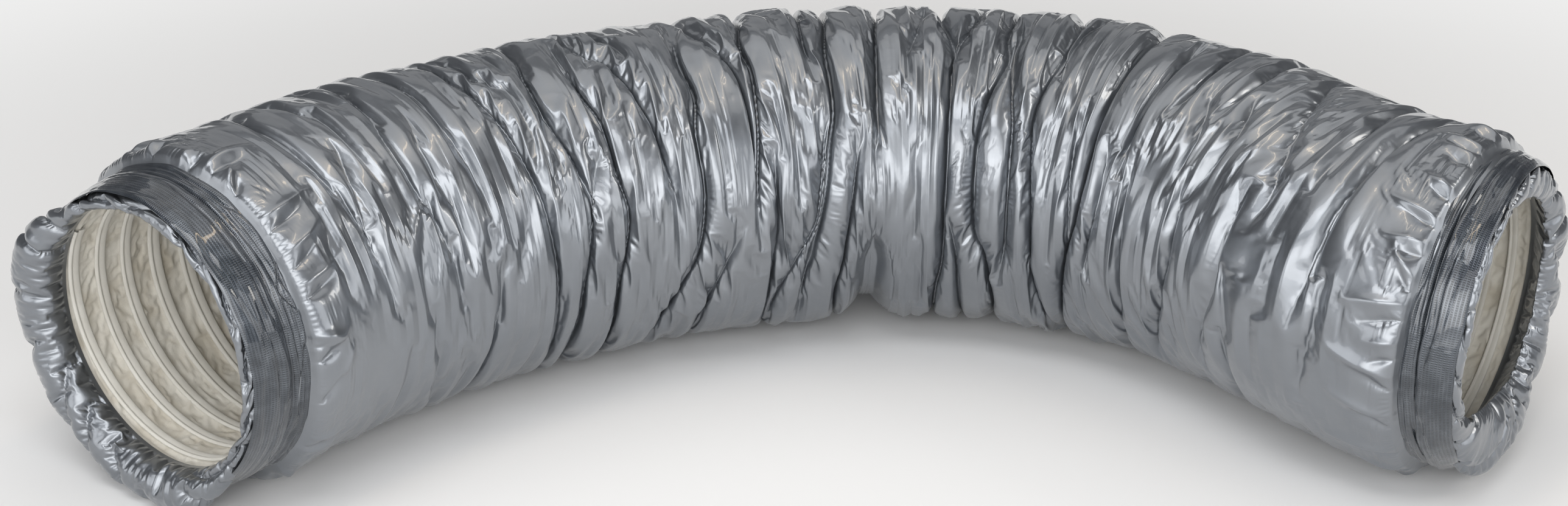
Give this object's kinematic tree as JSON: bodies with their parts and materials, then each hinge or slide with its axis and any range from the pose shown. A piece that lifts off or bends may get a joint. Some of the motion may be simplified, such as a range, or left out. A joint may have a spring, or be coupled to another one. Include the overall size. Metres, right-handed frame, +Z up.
{
  "type": "flexible air duct",
  "caption": "Insulated flexible air duct lying in an S-bend, with a wrinkled film jacket, a wire helix inside and a taped rolled cuff at each open mouth.",
  "frame": {"origin": "middle of the bounding box, on the floor that the duct lies on", "axes": "+X from the left mouth to the right mouth along the longest extent, -Y to the side that both mouths face, +Z up"},
  "size_m": [1.8426, 0.868, 0.4165],
  "materials": {
    "jacket_film": "thin silver-grey film, satin, wrinkled",
    "cuff_film": "thin silver-grey film, satin, gathered",
    "wool": "soft fibre wool",
    "liner_textile": "cream quilted textile",
    "spring_wire": "drawn spring wire",
    "sewn_tape": "cream woven tape, sewn along both edges",
    "scrim_tape": "dark grey tape with a fine scrim and glossy highlights"
  },
  "bodies": {
    "duct_run": {"outer_jacket": "jacket_film", "insulation_blanket": "wool", "inner_liner": "liner_textile", "helix_wire": "spring_wire", "helix_strip": "sewn_tape"},
    "left_end": {"left_cuff": "cuff_film", "left_rear_wrap": "scrim_tape", "left_front_wrap": "scrim_tape"},
    "right_end": {"right_cuff": "cuff_film", "right_rear_wrap": "scrim_tape", "right_front_wrap": "scrim_tape"}
  },
  "joints": [
    {"name": "left_stretch", "type": "slide", "parent": "duct_run", "child": "left_end", "axis": [0.5878, 0.809, 0], "range_m": [-0.06, 0.15], "deforming": ["outer_jacket", "insulation_blanket", "inner_liner", "helix_wire", "helix_strip"]},
    {"name": "right_bend", "type": "hinge", "parent": "duct_run", "child": "right_end", "pos_m": [0.35669, 0.17109, 0.208], "axis": [0, 0, 1], "range_deg": [-30, 70], "deforming": ["outer_jacket", "insulation_blanket", "inner_liner", "helix_wire", "helix_strip"]}
  ]
}
